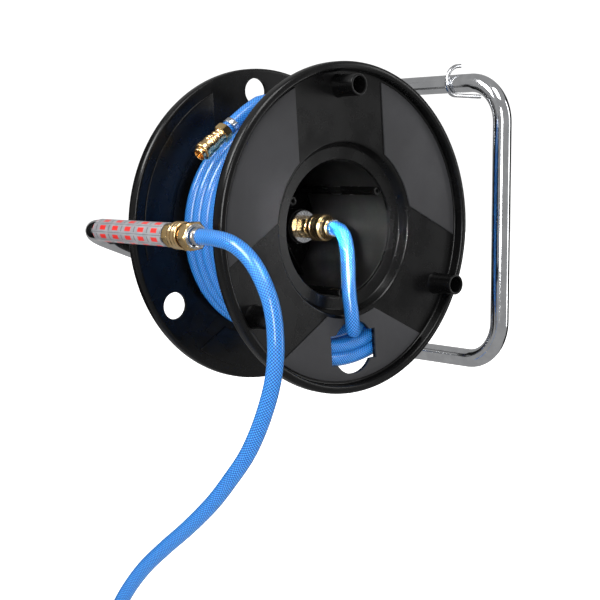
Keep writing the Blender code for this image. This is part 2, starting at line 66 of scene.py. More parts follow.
JOINTS = {joint["name"]: joint for joint in frame["record"]["behaviour"]["joints"]}
AXLE = Vector(JOINTS["drum_spin"]["pos_m"])
HANDLE = sum((Vector(corner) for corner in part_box("label_sleeve")), Vector()) / 2
HANDLE.x = 0.0
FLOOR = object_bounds()[0][2]
HOSE = 0.0064  # outer radius
TUBE = 0.009  # outer radius of the chrome tube
GAP = 0.0003
TINY = 0.000001
OUTLET = AXLE + Vector((-0.00635, -0.0816, 0.08585))
OUTLET_ALONG = -Vector(JOINTS["outlet_sleeve_slide"]["axis"]).normalized()
COIL = Vector((-0.190, -0.4553, 0.0))
COIL_BASE = -0.5582
PLUG = Vector((COIL.x + 0.0750, COIL.y - 0.0764, COIL_BASE + HOSE))

LOOKS = bpy.data.collections.new("looks")
bpy.context.scene.collection.children.link(LOOKS)


# Camera, at the photograph's angle


def place_camera():
    data = bpy.data.cameras.new("camera")
    data.lens, data.sensor_width, data.clip_start = 81.66, 36.0, 0.01
    camera = bpy.data.objects.new("camera", data)
    right, up, back = (0.6455, 0.7638, 0.0), (-0.0745, 0.0630, 0.9952), (0.7601, -0.6424, 0.0976)
    turn = Matrix((right, up, back)).transposed().to_4x4()
    camera.matrix_world = Matrix.Translation((0.9437, -1.0081, -0.0704)) @ turn
    LOOKS.objects.link(camera)
    bpy.context.scene.camera = camera


# Material nodes


def new_material(name, roughness, metallic=0.0, **sockets):
    made = bpy.data.materials.new(name)
    made.use_nodes = True
    shader = made.node_tree.nodes["Principled BSDF"]
    shader.inputs["Roughness"].default_value = roughness
    shader.inputs["Metallic"].default_value = metallic
    for socket, value in sockets.items():
        shader.inputs[socket.replace("_", " ")].default_value = value
    return made, made.node_tree, shader


def wire(tree, value, socket):
    if isinstance(value, bpy.types.NodeSocket):
        tree.links.new(value, socket)
    else:
        socket.default_value = value


def maths(tree, operation, *values):
    made = tree.nodes.new("ShaderNodeMath")
    made.operation = operation
    for value, socket in zip(values, made.inputs):
        wire(tree, value, socket)
    return made.outputs[0]


def ramp(tree, value, low, high, start, end):
    """Maps value from low..high to start..end, smoothly and clamped."""
    made = tree.nodes.new("ShaderNodeMapRange")
    made.interpolation_type = "SMOOTHSTEP"
    for socket, number in zip(made.inputs, (value, low, high, start, end)):
        wire(tree, number, socket)
    return made.outputs[0]


def mixed(tree, factor, first, second):
    made = tree.nodes.new("ShaderNodeMix")
    made.data_type = "RGBA"
    colours = [socket for socket in made.inputs if socket.type == "RGBA"]
    wire(tree, factor, made.inputs[0])
    for colour, socket in zip((first, second), colours):
        wire(tree, colour if isinstance(colour, bpy.types.NodeSocket) else (*colour, 1.0), socket)
    return next(socket for socket in made.outputs if socket.type == "RGBA")


def coordinates(tree, kind="Object"):
    return tree.nodes.new("ShaderNodeTexCoord").outputs[kind]


def separated(tree, vector):
    made = tree.nodes.new("ShaderNodeSeparateXYZ")
    tree.links.new(vector, made.inputs[0])
    return made.outputs


def noise(tree, scale, detail=2.0, vector=None):
    made = tree.nodes.new("ShaderNodeTexNoise")
    made.inputs["Scale"].default_value = scale
    made.inputs["Detail"].default_value = detail
    tree.links.new(vector or coordinates(tree), made.inputs["Vector"])
    return made.outputs["Fac"]


def line_noise(tree, value, scale, detail=2.0):
    made = tree.nodes.new("ShaderNodeTexNoise")
    made.noise_dimensions = "1D"
    made.inputs["Scale"].default_value = scale
    made.inputs["Detail"].default_value = detail
    tree.links.new(value, made.inputs["W"])
    return made.outputs["Fac"]


def bump(tree, shader, height, strength, distance):
    made = tree.nodes.new("ShaderNodeBump")
    made.inputs["Strength"].default_value = strength
    made.inputs["Distance"].default_value = distance
    tree.links.new(height, made.inputs["Height"])
    tree.links.new(made.outputs["Normal"], shader.inputs["Normal"])


def plastic(name, dark, light, roughness, grain, grain_depth, shine=0.5):
    """Moulded plastic: slow tone changes, a fine eroded grain, and patches that shine more."""
    made, tree, shader = new_material(name, roughness, Specular_IOR_Level=shine)
    slow = noise(tree, 14.0, 3.0)
    tree.links.new(mixed(tree, ramp(tree, slow, 0.35, 0.68, 0.0, 1.0), dark, light),
                   shader.inputs["Base Color"])
    tree.links.new(ramp(tree, noise(tree, 38.0, 4.0), 0.3, 0.7, roughness - 0.06, roughness + 0.07),
                   shader.inputs["Roughness"])
    bump(tree, shader, noise(tree, grain, 2.0), grain_depth, 0.0003)
    return made


def metal(name, dark, light, roughness, turned_lines=0.0, spread=0.08):
    """Turned or plated metal: uneven tarnish, and lathe lines across the piece's own Z if it has any."""
    made, tree, shader = new_material(name, roughness, 1.0)
    slow = noise(tree, 90.0, 4.0)
    tree.links.new(mixed(tree, ramp(tree, slow, 0.35, 0.7, 0.0, 1.0), dark, light),
                   shader.inputs["Base Color"])
    tree.links.new(ramp(tree, noise(tree, 260.0, 3.0), 0.3, 0.75, roughness - spread / 2,
                        roughness + spread), shader.inputs["Roughness"])
    if turned_lines:
        along = separated(tree, coordinates(tree))[2]
        bump(tree, shader, line_noise(tree, along, 5200.0, 3.0), turned_lines, 0.0002)
    else:
        bump(tree, shader, noise(tree, 700.0, 2.0), 0.05, 0.0001)
    return made


def braided_hose():
    """Clear blue hose over a diamond braid: two sets of helices in the tube's own UVs."""
    made, tree, shader = new_material("braided_hose", 0.30, Coat_Weight=0.75, Coat_Roughness=0.12,
                                      Subsurface_Weight=0.15, Subsurface_Scale=0.004)
    around, along, _ = separated(tree, coordinates(tree, "UV"))
    count, slant = 15.0, 1.05
    threads = []
    for direction in (1.0, -1.0):
        phase = maths(tree, "ADD", maths(tree, "MULTIPLY", around, count),
                      maths(tree, "MULTIPLY", along, count * slant * direction))
        saw = maths(tree, "PINGPONG", phase, 0.5)
        threads.append(ramp(tree, saw, 0.20, 0.34, 1.0, 0.0))
    weave = maths(tree, "MAXIMUM", *threads)
    crossing = maths(tree, "MULTIPLY", *threads)
    cloudy = ramp(tree, noise(tree, 60.0, 3.0), 0.3, 0.7, 0.0, 0.45)
    ground = mixed(tree, cloudy, (0.0003, 0.010, 0.11), (0.0006, 0.024, 0.20))
    thread = mixed(tree, crossing, (0.006, 0.140, 0.52), (0.060, 0.340, 0.78))
    tree.links.new(mixed(tree, weave, ground, thread), shader.inputs["Base Color"])
    shader.inputs["Subsurface Radius"].default_value = (0.1, 0.4, 1.0)
    bump(tree, shader, maths(tree, "ADD", weave, maths(tree, "MULTIPLY", crossing, 0.4)), 0.35, 0.0005)
    return made


def printed_film():
    """Silver film printed with rows of red dashes between thin dark lines; the pattern is generic."""
    made, tree, shader = new_material("printed_film", 0.32, 0.35, Coat_Weight=0.5, Coat_Roughness=0.15)
    across, side, along = separated(tree, coordinates(tree))
    rows, first_row = 8.0, math.radians(64.8)
    turn = maths(tree, "MULTIPLY", maths(tree, "ARCTAN2", side, across), rows)
    row = maths(tree, "COSINE", maths(tree, "ADD", turn, rows * first_row))
    step = maths(tree, "PINGPONG", maths(tree, "ADD", along, 0.0035), 0.0095)
    dash = maths(tree, "MULTIPLY", ramp(tree, row, -0.12, 0.04, 0.0, 1.0),
                 ramp(tree, step, 0.0040, 0.0044, 1.0, 0.0))
    line = maths(tree, "MULTIPLY", ramp(tree, step, 0.0086, 0.0089, 0.0, 1.0),
                 ramp(tree, row, -0.5, -0.4, 0.0, 1.0))
    band = ramp(tree, row, -0.995, -0.955, 1.0, 0.0)
    worn = ramp(tree, noise(tree, 120.0, 3.0), 0.4, 0.7, 0.0, 1.0)
    film = mixed(tree, worn, (0.30, 0.30, 0.32), (0.38, 0.38, 0.40))
    inked = mixed(tree, maths(tree, "MULTIPLY", maths(tree, "MAXIMUM", line, band), 0.6), film,
                  (0.06, 0.06, 0.07))
    tree.links.new(mixed(tree, dash, inked, (0.80, 0.03, 0.025)), shader.inputs["Base Color"])
    bump(tree, shader, dash, 0.15, 0.0002)
    return made


def pale_stage():
    """A pale floor that the camera sees as white, and that gives no light of its own."""
    made, tree, shader = new_material("pale_stage", 0.85)
    tree.links.new(mixed(tree, noise(tree, 3.0), (0.90, 0.90, 0.90), (0.93, 0.93, 0.93)),
                   shader.inputs["Base Color"])
    shader.inputs["Emission Color"].default_value = (1.0, 1.0, 1.0, 1.0)
    seen = tree.nodes.new("ShaderNodeLightPath").outputs["Is Camera Ray"]
    tree.links.new(seen, shader.inputs["Emission Strength"])
    return made


GLOSS_BLACK = plastic("gloss_black", (0.0015, 0.0015, 0.0015), (0.003, 0.003, 0.0032), 0.26, 900.0,
                      0.04, 0.3)
MATT_BLACK = plastic("matt_black", (0.028, 0.028, 0.030), (0.034, 0.034, 0.037), 0.58, 1500.0,
                     0.16, 0.35)
SATIN_BLACK = plastic("satin_black", (0.006, 0.006, 0.006), (0.010, 0.010, 0.010), 0.42, 1100.0, 0.04)
CHROME = metal("bright_chrome", (0.72, 0.73, 0.75), (0.82, 0.83, 0.85), 0.09, 0.0, 0.04)
ZINC = metal("zinc_plate", (0.55, 0.56, 0.58), (0.74, 0.75, 0.77), 0.24)
BRASS = metal("turned_brass", (0.80, 0.53, 0.24), (0.92, 0.67, 0.36), 0.22, 0.03, 0.03)
BRASS_HEX = metal("drawn_brass", (0.74, 0.50, 0.21), (0.86, 0.62, 0.31), 0.24, 0.0, 0.03)
HOSE_BLUE = braided_hose()
FILM = printed_film()
RUBBER = plastic("seal_rubber", (0.010, 0.010, 0.010), (0.020, 0.020, 0.020), 0.65, 1200.0, 0.1)
ACETAL = plastic("dark_acetal", (0.030, 0.030, 0.030), (0.045, 0.045, 0.045), 0.45, 1200.0, 0.05)
STRAP = plastic("tie_strap", (0.018, 0.018, 0.018), (0.032, 0.032, 0.032), 0.60, 2200.0, 0.3)


# Shape helpers


def piece(name, mesh, material, body, at=(0.0, 0.0, 0.0), along=UP, stands_for=(), slot=None):
    """A shown object that rides on a body, with its local Z turned to the direction along."""
    obj = bpy.data.objects.new(name, mesh)
    obj.location = at
    obj.rotation_euler = UP.rotation_difference(along).to_euler()
    LOOKS.objects.link(obj)
    mesh.materials.append(material)
    if body:
        bpy.context.view_layer.update()
        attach(obj, body)
        if stands_for:
            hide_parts(*stands_for)
    return obj


def mesh_of(name, bm, sharp=40.0):
    bmesh.ops.recalc_face_normals(bm, faces=bm.faces)
    mesh = bpy.data.meshes.new(name)
    bm.to_mesh(mesh)
    bm.free()
    mesh.shade_smooth()
    mesh.set_sharp_from_angle(angle=math.radians(sharp))
    return mesh


def eased(outline, reach):
    """The outline with its corners rounded off."""
    points = [Vector(point) for point in outline]
    closed = outline[0][0] > 0
    found = []
    for index, point in enumerate(points):
        if not closed and index in (0, len(points) - 1):
            found.append(point)
            continue
        before = points[index - 1] - point
        after = points[(index + 1) % len(points)] - point
        cut = min(reach, before.length * 0.45, after.length * 0.45)
        if cut < 0.00002 or before.angle(-after) < 0.2:
            found.append(point)
            continue
        start, end = point + before.normalized() * cut, point + after.normalized() * cut
        found += [start, (start + 2 * point + end) / 4, end]
    return found


def lathe(outline, steps=72, ease=0.0003):
    """A mesh of (radius, height) points turned about Z. It is a closed loop unless it starts on the axis."""
    bm = bmesh.new()
    turns = [math.tau * step / steps for step in range(steps)]
    rings = []
    for radius, height in eased(outline, ease):
        if radius < TINY:
            rings.append([bm.verts.new((0.0, 0.0, height))] * steps)
        else:
            rings.append([bm.verts.new((radius * math.cos(turn), radius * math.sin(turn), height))
                          for turn in turns])
    pairs = list(zip(rings, rings[1:]))
    if outline[0][0] > 0:
        pairs.append((rings[-1], rings[0]))
    for first, second in pairs:
        for step in range(steps):
            ahead = (step + 1) % steps
            corners = dict.fromkeys((first[step], second[step], second[ahead], first[ahead]))
            if len(corners) > 2:
                bm.faces.new(list(corners))
    return mesh_of("turned", bm)


def nut(flats, start, end, bore, turn=0.0):
    """A hexagon with its corners chamfered at both ends."""
    steps = 72
    corner, face = flats / math.sqrt(3), flats / 2 * 0.96
    depth = (corner - face) * 0.62
    levels = [start + depth * k / 3 for k in range(4)] + [end - depth * (3 - k) / 3 for k in range(4)]
    bm = bmesh.new()
    rings = []
    for height in levels:
        limit = face + min(height - start, end - height) / depth * (corner - face)
        ring = []
        for step in range(steps):
            angle = math.tau * step / steps
            side = flats / 2 / math.cos((angle + math.pi / 6) % (math.pi / 3) - math.pi / 6)
            radius = min(side, limit, corner * 0.985)
            spot = angle + turn
            ring.append(bm.verts.new((radius * math.cos(spot), radius * math.sin(spot), height)))
        rings.append(ring)
    for height in (end, start):
        rings.append([bm.verts.new((bore * math.cos(math.tau * step / steps + turn),
                                    bore * math.sin(math.tau * step / steps + turn), height))
                      for step in range(steps)])
    for first, second in zip(rings, rings[1:] + rings[:1]):
        for step in range(steps):
            ahead = (step + 1) % steps
            bm.faces.new((first[step], second[step], second[ahead], first[ahead]))
    return mesh_of("nut", bm, 24.0)


def smooth_route(points, spacing):
    """Points about a spacing apart on a smooth curve through the route's own points."""
    route = [Vector(point) for point in points]
    padded = [2 * route[0] - route[1], *route, 2 * route[-1] - route[-2]]
    found = [route[0]]
    for before, start, end, after in zip(padded, padded[1:], padded[2:], padded[3:]):
        pieces = max(1, round((end - start).length / spacing))
        for part in range(1, pieces + 1):
            t = part / pieces
            found.append(0.5 * (
                2 * start + (end - before) * t + (2 * before - 5 * start + 4 * end - after) * t * t
                + (3 * start - before - 3 * end + after) * t ** 3
            ))
    return found


def tube_mesh(points, radius, sides):
    """A tube along the points, capped, with UVs that run round it and along it in circumferences."""
    bm = bmesh.new()
    uv = bm.loops.layers.uv.new("UVMap")
    headings = [(after - before).normalized()
                for before, after in zip([points[0], *points], [*points[1:], points[-1]])]
    side = headings[0].orthogonal().normalized()
    rings, travelled = [], [0.0]
    for index, (point, heading) in enumerate(zip(points, headings)):
        if index:
            side = headings[index - 1].rotation_difference(heading) @ side
            travelled.append(travelled[-1] + (point - points[index - 1]).length)
        side = (side - heading * side.dot(heading)).normalized()
        other = heading.cross(side)
        rings.append([bm.verts.new(point + radius * (side * math.cos(turn) + other * math.sin(turn)))
                      for turn in (math.tau * step / sides for step in range(sides))])
    along = [length / (math.tau * radius) for length in travelled]
    for index in range(len(points) - 1):
        for step in range(sides):
            ahead = (step + 1) % sides
            face = bm.faces.new((rings[index][step], rings[index][ahead], rings[index + 1][ahead],
                                 rings[index + 1][step]))
            spots = ((step, index), (step + 1, index), (step + 1, index + 1), (step, index + 1))
            for loop, (around, row) in zip(face.loops, spots):
                loop[uv].uv = (around / sides, along[row])
    bm.faces.new(list(reversed(rings[0])))
    bm.faces.new(rings[-1])
    return mesh_of("tube", bm, 60.0)


def bent_tube(name, points, radius, material, body, **words):
    return piece(name, tube_mesh(points, radius, 28), material, body, **words)


def prism(bm, outline, start, end):
    """Extrudes (y, z) points along x from start to end."""
    near = [bm.verts.new((start, y, z)) for y, z in outline]
    far = [bm.verts.new((end, y, z)) for y, z in outline]
    bm.faces.new(near)
    bm.faces.new(list(reversed(far)))
    for index in range(len(outline)):
        ahead = (index + 1) % len(outline)
        bm.faces.new((near[index], far[index], far[ahead], near[ahead]))


def cut(mesh, others, along, sharp=32.0):
    """The mesh, its local Z turned to the direction along, with the other, unturned meshes taken out."""
    target = bpy.data.objects.new("cut_target", mesh)
    target.rotation_euler = UP.rotation_difference(along).to_euler()
    bpy.context.scene.collection.objects.link(target)
    tools = []
    for other in others:
        tool = bpy.data.objects.new("cut_tool", other)
        bpy.context.scene.collection.objects.link(tool)
        modifier = target.modifiers.new("Cut", "BOOLEAN")
        modifier.object = tool
        tools.append(tool)
    bpy.context.view_layer.update()
    done = bpy.data.meshes.new_from_object(target.evaluated_get(bpy.context.evaluated_depsgraph_get()))
    for obj in (target, *tools):
        bpy.data.objects.remove(obj, do_unlink=True)
    done.materials.clear()
    done.shade_smooth()
    done.set_sharp_from_angle(angle=math.radians(sharp))
    return done


def on_circle(radius, degrees, along=0.0):
    angle = math.radians(degrees)
    return Vector((along, radius * math.cos(angle), radius * math.sin(angle)))


def eased_step(value):
    value = min(1.0, max(0.0, value))
    return value * value * (3 - 2 * value)


# Cords: the supply hose and the hose wound on the drum


def supply_route():
    """Out of the coupling, down in one bight to the floor, through the coil's turns, to the plug."""
    drop = [
        (0.0803, -0.1247), (0.0870, -0.1247), (0.0940, -0.1247), (0.1060, -0.1251), (0.1260, -0.1278),
        (0.1450, -0.1360), (0.1588, -0.1475), (0.1708, -0.1640), (0.1770, -0.1800), (0.1793, -0.1980),
        (0.1785, -0.2150), (0.1745, -0.2320), (0.1672, -0.2500), (0.1572, -0.2690), (0.1435, -0.2890),
        (0.1245, -0.3095), (0.1010, -0.3325), (0.0680, -0.3590), (0.0320, -0.3850), (0.0020, -0.4085),
        (-0.0240, -0.4345), (-0.0460, -0.4630), (-0.0665, -0.4915), (-0.0880, -0.5170), (-0.1120, -0.5345),
        (-0.1362, -0.5406),
    ]
    plane = HANDLE.y - 0.0010
    route = [Vector((x, HANDLE.y if x < 0.1 and z > -0.13 else plane, z)) for x, z in drop]
    route = smooth_route([*route, Vector((COIL.x + 0.0240, plane, COIL_BASE + 3 * HOSE))], 0.006)
    top, bottom = COIL_BASE + 3 * HOSE, COIL_BASE + HOSE
    coil_turns, steps = 2.5, 120
    for step in range(1, steps + 1):
        turns = coil_turns * step / steps
        radius = 0.0700 - HOSE * eased_step(turns / 0.25) + 2 * HOSE * eased_step((turns - 1.5) / 0.3)
        height = top - (top - bottom) * eased_step((turns - 0.8) / 0.25)
        angle = math.tau * (0.25 + turns)
        route.append(COIL + Vector((radius * math.cos(angle), radius * math.sin(angle), height)))
    end = PLUG.x - GAP
    for step in range(1, 9):
        route.append(Vector((COIL.x + (end - COIL.x) * step / 8, PLUG.y, bottom)))
    return route


def wound_route():
    """From the swivel out through the window, four layers of turns and part of a fifth, and out to the
    loose coupling. The crossings between layers and the loose end's run in cut into nearby turns."""
    hub = [
        (0.0408, 0.0, 0.0), (0.0460, 0.0, 0.0), (0.0515, -0.0001, -0.0016), (0.0567, -0.0004, -0.0065),
        (0.0606, -0.0009, -0.0160), (0.0628, -0.0013, -0.0290), (0.0640, -0.0018, -0.0440),
        (0.0660, -0.0025, -0.0580), (0.0682, -0.0028, -0.0680), (0.0690, -0.0022, -0.0760),
        (0.0681, -0.0006, -0.0836), (0.0652, 0.0028, -0.0886), (0.0605, 0.0078, -0.0900),
        (0.0530, 0.0160, -0.0895), (0.0480, 0.0250, -0.0850), (0.0440, 0.0350, -0.0752),
        (0.0402, 0.0440, -0.0630),
    ]
    front, rear, lead_in, lying = 0.0491, -0.0491, 0.0360, 0.1061
    first, second, third, fourth, fifth = 0.0696, 0.0812, 0.0928, 0.1044, 0.1160
    stops = [  # turns so far, place along the axle, radius
        (0.10, 0.0370, 0.0715), (0.18, lead_in, 0.0698), (7.38, rear, first), (7.56, rear, second),
        (14.76, lead_in, second), (14.94, lead_in, third), (22.14, rear, third), (22.26, rear, fourth),
        (22.50, 0.0090, fourth), (24.72, 0.0368, fourth), (24.92, 0.0484, fourth), (25.75, front, fourth),
        (25.89, front, fifth), (26.10, 0.0484, fifth), (26.361, -0.0017, lying),
    ]
    start_angle, steps_per_turn, crossing = 290, 24, 0.3
    wound = []
    for (start, x0, r0), (end, x1, r1) in zip(stops, stops[1:]):
        count = max(2, round((end - start) * steps_per_turn))
        for step in range(count):
            share = step / count
            sway = eased_step(share) if end - start < crossing else share
            turned = start_angle + 360 * (start + (end - start) * share)
            wound.append(on_circle(r0 + (r1 - r0) * eased_step(share), turned, x0 + (x1 - x0) * sway))
    loose = [
        on_circle(lying, 60, -0.0017), on_circle(lying, 72, -0.0027), on_circle(lying, 83, -0.0042),
        Vector((-0.0055, -0.0079, 0.1079)), Vector((-0.0063, -0.0387, 0.1116)),
        Vector((-0.0064, -0.0560, 0.1040)), Vector((-0.00635, -0.0720, 0.0930)),
        Vector((-0.00635, -0.0812, 0.08615)),
    ]
    route = smooth_route([*hub, *wound, *loose], 0.006)
    return [AXLE + Vector(point) for point in route]


def supply_hose():
    route = supply_route()
    hose = piece("supply_hose_tube", tube_mesh(route, HOSE, 20), HOSE_BLUE, "frame", slot="blue_hose",
                 stands_for=("supply_hose", "supply_hose_coil", "supply_hose_tail"))
    with_pieces = [plug_on_coil(), clamp("plug_clamp_band", PLUG - OUT * 0.0062, OUT, "frame",
                                         "supply_plug_clamp"), coil_strap()]


def wound_hose():
    route = wound_route()
    hose = piece("wound_hose_tube", tube_mesh(route, HOSE, 16), HOSE_BLUE, "drum", slot="blue_hose",
                 stands_for=("hub_hose", "hose_winding", "hose_outer_run"))
    outlet_coupling()


# Pieces on the hoses


def clamp(name, at, along, body, stands_for, width=0.0055):
    """A bright steel band with its pinched ear."""
    inner, outer = HOSE + 0.0001, HOSE + 0.0009
    half = width / 2
    band = piece(name, lathe([(inner, half), (outer, half), (outer, -half), (inner, -half)], 64, 0.0002),
                 ZINC, body, at, along, (stands_for,), "zinc_steel")
    bm = bmesh.new()
    bmesh.ops.create_cube(bm, size=1.0, matrix=Matrix.Translation((outer + 0.0007, 0.0, 0.0))
                          @ Matrix.Diagonal((0.0020, 0.0046, width * 0.9, 1.0)))
    bmesh.ops.bevel(bm, geom=list(bm.edges), offset=0.0006, segments=3, affect="EDGES", profile=0.6)
    piece(name + "_ear", mesh_of("ear", bm), ZINC, body, at, along, slot="zinc_steel")
    return band


def wire_clip(name, at, along, body, stands_for):
    """A bright wire clip, bent to and fro round the hose."""
    points = []
    for step in range(97):
        turn = math.tau * step / 96
        wave = 0.0014 * math.sin(7 * turn)
        points.append(Vector(((HOSE + 0.0006) * math.cos(turn), (HOSE + 0.0006) * math.sin(turn), wave)))
    return piece(name, tube_mesh(points, 0.0004, 8), ZINC, body, at, along, (stands_for,), "zinc_steel")


def plug_on_coil():
    nose = piece("plug_nose", lathe([
        (0.0030, 0.0310), (0.0042, 0.0310), (0.0046, 0.0304), (0.0046, 0.0262), (0.0039, 0.0256),
        (0.0039, 0.0230), (0.0048, 0.0222), (0.0048, 0.0118), (0.0058, 0.0110), (0.0065, 0.0106),
        (0.0065, 0.0078), (0.0030, 0.0078),
    ]), BRASS, "frame", PLUG, OUT, ("supply_plug",), "brass")
    piece("plug_nut", nut(0.0138, 0.0, 0.0080, 0.0030), BRASS_HEX, "frame", PLUG, OUT, slot="brass")
    return nose


def coil_strap():
    """A flat strap round the coil's turns, as a band with rounded corners."""
    half = 2 * HOSE + 0.0012
    low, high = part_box("coil_tie")
    centre = (Vector(low) + Vector(high)) / 2
    route = []
    for step in range(41):
        turn = math.tau * step / 40
        bulge = (abs(math.cos(turn)) ** 8 + abs(math.sin(turn)) ** 8) ** (-1 / 8)
        route.append((half * bulge * math.cos(turn), half * bulge * math.sin(turn)))
    bm = bmesh.new()
    rings = []
    for across, height in route[:-1]:
        scale = (half - 0.0007) / half
        rings.append([bm.verts.new(spot) for spot in (
            (across, -0.0043, height), (across, 0.0043, height),
            (across * scale, 0.0043, height * scale), (across * scale, -0.0043, height * scale))])
    for first, second in zip(rings, rings[1:] + rings[:1]):
        for step in range(4):
            ahead = (step + 1) % 4
            bm.faces.new((first[step], second[step], second[ahead], first[ahead]))
    return piece("strap_band", mesh_of("strap", bm), STRAP, "frame", centre, UP, ("coil_tie",),
                 "tie_strap")


def outlet_coupling():
    """The coupling on the loose end; heights run from its hose end to its mouth."""
    where = {"at": OUTLET, "along": OUTLET_ALONG, "slot": "brass"}
    body = piece("outlet_barrel", lathe([
        (0.0048, 0.0366), (0.0055, 0.0366), (0.0059, 0.0361), (0.0059, 0.0178), (0.0070, 0.0174),
        (0.0070, 0.0158), (0.0066, 0.0152), (0.0066, 0.0140), (0.0070, 0.0134), (0.0070, 0.0112),
        (0.0063, 0.0104), (0.0063, 0.0092), (0.0069, 0.0086), (0.0069, 0.0070), (0.0034, 0.0070),
        (0.0034, 0.0220), (0.0048, 0.0222),
    ], 72, 0.0004), BRASS, "drum", stands_for=("outlet_coupling_body",), **where)
    piece("outlet_nut", nut(0.015, 0.0, 0.0077, 0.0030, 0.25), BRASS_HEX, "drum", **where)
    piece("outlet_grip", lathe([
        (0.0062, 0.0330), (0.0072, 0.0330), (0.0081, 0.0321), (0.0082, 0.0306), (0.0082, 0.0282),
        (0.0077, 0.0274), (0.0075, 0.0262), (0.0075, 0.0226), (0.0079, 0.0220), (0.0079, 0.0206),
        (0.0075, 0.0200), (0.0079, 0.0194), (0.0079, 0.0184), (0.0076, 0.0179), (0.0072, 0.0179),
        (0.0072, 0.0300), (0.0062, 0.0302),
    ], 96, 0.0003), BRASS, "outlet_sleeve",
        stands_for=("outlet_sleeve",), **where)
    band = clamp("outlet_clamp_band", OUTLET - OUTLET_ALONG * 0.0062, OUTLET_ALONG, "drum",
                 "outlet_hose_clamp")
    return [body, band, "outlet_ball_1", "outlet_ball_2", "outlet_ball_3"]


# Drum

ARM_ANGLES = (94.4, 214.4, 334.4)
PANEL_ANGLES = (34.4, 154.4, 274.4)
PLATE_FACE, PLATE_BACK, RIM_PLANE = 0.05915, 0.05615, 0.06865
ARM_HALF_WIDTH, PANEL_EDGE = 0.050, 0.1345
BOSS_CIRCLE, SCREW_CIRCLE, WINDOW_CIRCLE = 0.124, 0.0572, 0.1052


def panel_outline(angle, inner, outer):
    """The sector left between two parallel-sided arms, as (y, z) points."""
    def edge(radius):
        apex = ARM_HALF_WIDTH / math.cos(math.radians(30))
        run = (-apex + math.sqrt(apex * apex - 4 * (apex * apex - radius * radius))) / 2
        return math.degrees(math.atan2(run * math.sin(math.radians(60)), apex + run / 2))

    points = []
    for radius, direction in ((outer, 1), (inner, -1)):
        widest = edge(radius)
        for step in range(-12, 13):
            spot = on_circle(radius, angle + direction * widest * step / 12)
            points.append((spot.y, spot.z))
    return points


def window_outline():
    """The hose window: a round hole widened by a straight-sided notch to each side."""
    radius, half_width, half_height = 0.024, 0.0265, 0.0135
    meet = math.degrees(math.asin(half_height / radius))
    local = []
    for side in (1, -1):
        local += [(side * half_width, -side * half_height), (side * half_width, side * half_height)]
        for step in range(17):
            turn = math.radians(meet + (180 - 2 * meet) * step / 16)
            local.append((side * radius * math.cos(turn), side * radius * math.sin(turn)))
    outward = on_circle(1.0, PANEL_ANGLES[2])
    across = on_circle(1.0, PANEL_ANGLES[2] + 90)
    found = [outward * (WINDOW_CIRCLE + up) + across * right for right, up in local]
    return [(spot.y, spot.z) for spot in found]


def panels(name, rows, material, cutter=None):
    """Raised sectors, with the edges of their outward faces softened."""
    bm = bmesh.new()
    for outline, start, end in rows:
        prism(bm, outline, start, end)
    face = max(end for _, _, end in rows)
    bmesh.ops.recalc_face_normals(bm, faces=bm.faces)
    edges = [edge for edge in bm.edges if all(abs(vert.co.x - face) < TINY for vert in edge.verts)]
    bmesh.ops.bevel(bm, geom=edges, offset=0.0006, segments=3, affect="EDGES", profile=0.5)
    mesh = mesh_of(name, bm, 50.0)
    if cutter:
        mesh = cut(mesh, [cutter], UP, 50.0)
    return piece(name, mesh, material, "drum", AXLE, slot="black_plastic")


def rim(side):
    points = [
        (0.1362, PLATE_FACE), (0.1372, 0.0600), (0.1376, 0.0668), (0.1385, 0.0682), (0.1405, RIM_PLANE),
        (0.1430, 0.0680), (0.1446, 0.0664), (0.1450, 0.0640), (0.1450, 0.0590), (0.1441, 0.0567),
        (0.1420, PLATE_BACK),
    ]
    return [(radius, side * height) for radius, height in points]


def front_flange():
    disc = lathe([
        (0.0606, 0.0497), (0.0612, 0.0505), (0.0716, 0.0505), (0.0722, 0.0513), (0.0754, 0.0580),
        (0.0766, PLATE_FACE), *rim(1), (0.0792, PLATE_BACK), (0.0747, 0.0478), (0.0632, 0.0478),
        (0.0632, -0.0558), (0.0605, -0.0558), (0.0605, 0.0480),
    ], 160, 0.0007)
    piece("core_lining", lathe([
        (0.0600, 0.0476), (0.0604, 0.0480), (0.0604, -0.0556), (0.0600, -0.0556),
    ], 96, 0.0002), SATIN_BLACK, "drum", AXLE, OUT, slot="black_plastic")
    bm = bmesh.new()
    prism(bm, window_outline(), 0.045, 0.070)
    window = mesh_of("prism", bm)
    piece("front_disc", cut(disc, [window], OUT), GLOSS_BLACK, "drum", AXLE, OUT,
          ("front_flange",), "black_plastic")
    rows = [(panel_outline(angle, 0.0790, PANEL_EDGE), 0.0580, PLATE_FACE + 0.0015)
            for angle in PANEL_ANGLES]
    panels("front_panels", rows, MATT_BLACK, window)
    for number, angle in enumerate(ARM_ANGLES, 1):
        piece(f"front_boss_{number}", lathe([
            (0.0, 0.0625), (0.0069, 0.0625), (0.0070, 0.0845), (0.0073, 0.0857), (0.0091, 0.0857),
            (0.0093, 0.0850), (0.0096, 0.0606), (0.0104, 0.0592), (0.0104, 0.0580), (0.0, 0.0580),
        ], 64, 0.0005), GLOSS_BLACK, "drum", AXLE + on_circle(BOSS_CIRCLE, angle), OUT,
            slot="black_plastic")
    for number, angle in enumerate(PANEL_ANGLES, 1):
        piece(f"screw_column_{number}", lathe([
            (0.0, 0.0420), (0.0018, 0.0420), (0.0019, 0.0480), (0.0037, 0.0480), (0.0039, 0.0470),
            (0.0039, -0.0553), (0.0, -0.0553),
        ], 32, 0.0004), GLOSS_BLACK, "drum", AXLE + on_circle(SCREW_CIRCLE, angle), OUT,
            slot="black_plastic")


